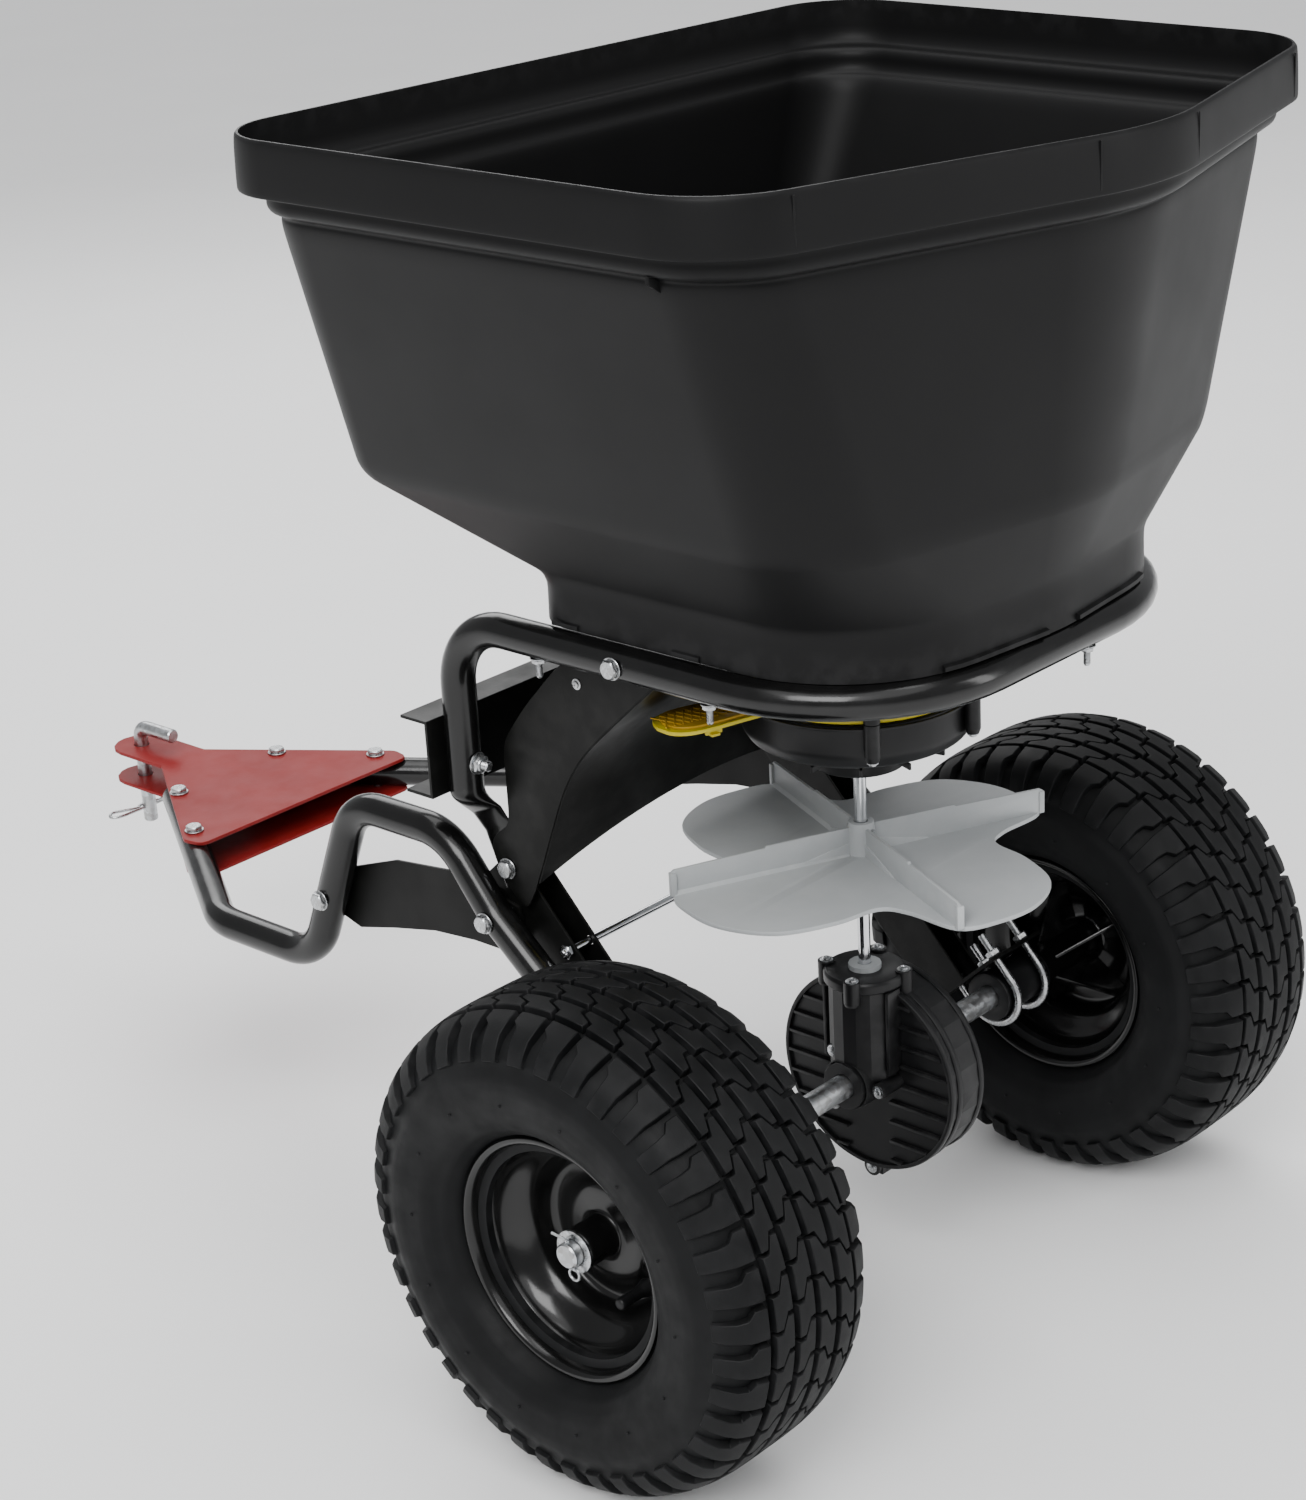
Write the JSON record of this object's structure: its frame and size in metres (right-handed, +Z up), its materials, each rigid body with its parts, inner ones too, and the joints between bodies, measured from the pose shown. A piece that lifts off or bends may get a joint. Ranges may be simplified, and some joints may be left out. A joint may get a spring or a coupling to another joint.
{
  "type": "tow-behind broadcast spreader",
  "caption": "Wheeled broadcast spreader with a plastic hopper, rotary gate, geared impeller and a clevis tow hitch.",
  "frame": {"origin": "on the ground, under the middle of the object's outline", "axes": "+Z up, +Y forward to the hitch, +X to the object's right; the axle lies along X at y = -0.3085 m, z = 0.185 m"},
  "size_m": [0.722, 1.1247, 0.921],
  "materials": {
    "black_plastic": "moulded matt black, fine grain",
    "black_paint": "gloss black powder coat",
    "black_sheet": "semi-gloss black powder coat on sheet",
    "zinc": "bright zinc plate",
    "chrome": "polished shaft",
    "rubber": "black tyre rubber",
    "red_paint": "red powder coat",
    "light_plastic": "light grey moulded plastic",
    "yellow_plastic": "yellow moulded plastic",
    "white_print": "white printed band",
    "cast": "bare casting, oiled"
  },
  "bodies": {
    "frame": {"hopper": "black_plastic", "outlet_ring": "black_plastic", "rate_scale": "white_print", "gate_housing": "black_plastic", "gearbox_cover": "black_plastic", "gearbox_case": "black_plastic", "shaft_bushing": "light_plastic", "axle_bearing_left": "black_plastic", "axle_bearing_right": "black_plastic", "u_bolt_left_inner": "zinc", "u_bolt_left_outer": "zinc", "u_bolt_right_inner": "zinc", "u_bolt_right_outer": "zinc", "frame_loop": "black_paint", "cross_channel": "black_sheet", "leg_channel_left": "black_sheet", "leg_channel_right": "black_sheet", "cross_rod": "zinc", "shield": "black_sheet", "tow_tube_left": "black_paint", "tow_tube_right": "black_paint", "tow_gusset_left": "black_sheet", "tow_gusset_right": "black_sheet", "hitch_plate_top": "red_paint", "hitch_plate_bottom": "red_paint", "hitch_bolt_front_left": "zinc", "hitch_bolt_front_right": "zinc", "hitch_bolt_rear_left": "zinc", "hitch_bolt_rear_right": "zinc", "gusset_bolt_left": "zinc", "gusset_bolt_right": "zinc", "tow_bolt_left": "zinc", "tow_bolt_right": "zinc", "leg_bolt_left": "zinc", "leg_bolt_right": "zinc", "cross_channel_bolt_left": "zinc", "cross_channel_bolt_right": "zinc", "shield_bolt_left": "zinc", "shield_bolt_right": "zinc"},
    "gate": {"gate_lever": "yellow_plastic"},
    "spinner": {"impeller": "light_plastic", "impeller_shaft": "chrome", "impeller_pin": "zinc", "agitator": "zinc", "pinion_gear": "cast"},
    "drive_axle": {"axle": "zinc", "crown_gear": "cast", "drive_pin": "zinc", "tyre_right": "rubber", "rim_right": "black_paint", "washer_left": "zinc", "washer_right": "zinc", "cotter_pin_left": "zinc", "cotter_pin_right": "zinc"},
    "free_wheel": {"tyre_left": "rubber", "rim_left": "black_paint"},
    "hitch_pin_set": {"hitch_pin": "zinc", "hitch_hairpin": "zinc"}
  },
  "joints": [
    {"name": "axle_spin", "type": "hinge", "parent": "frame", "child": "drive_axle", "pos_m": [0, -0.3085, 0.185], "axis": [1, 0, 0], "continuous": true},
    {"name": "free_wheel_spin", "type": "hinge", "parent": "frame", "child": "free_wheel", "pos_m": [-0.286, -0.3085, 0.185], "axis": [1, 0, 0], "continuous": true},
    {"name": "impeller_spin", "type": "hinge", "parent": "frame", "child": "spinner", "pos_m": [0, -0.3085, 0.368], "axis": [0, 0, 1], "continuous": true},
    {"name": "gate_swing", "type": "hinge", "parent": "frame", "child": "gate", "pos_m": [0, -0.3085, 0.502], "axis": [0, 0, 1], "range_deg": [0, 45]},
    {"name": "hitch_pin_lift", "type": "slide", "parent": "frame", "child": "hitch_pin_set", "axis": [0, 0, 1], "range_m": [0, 0.025]}
  ],
  "couplings": [
    {"joint": "impeller_spin", "follows": "axle_spin", "ratio": -3}
  ]
}
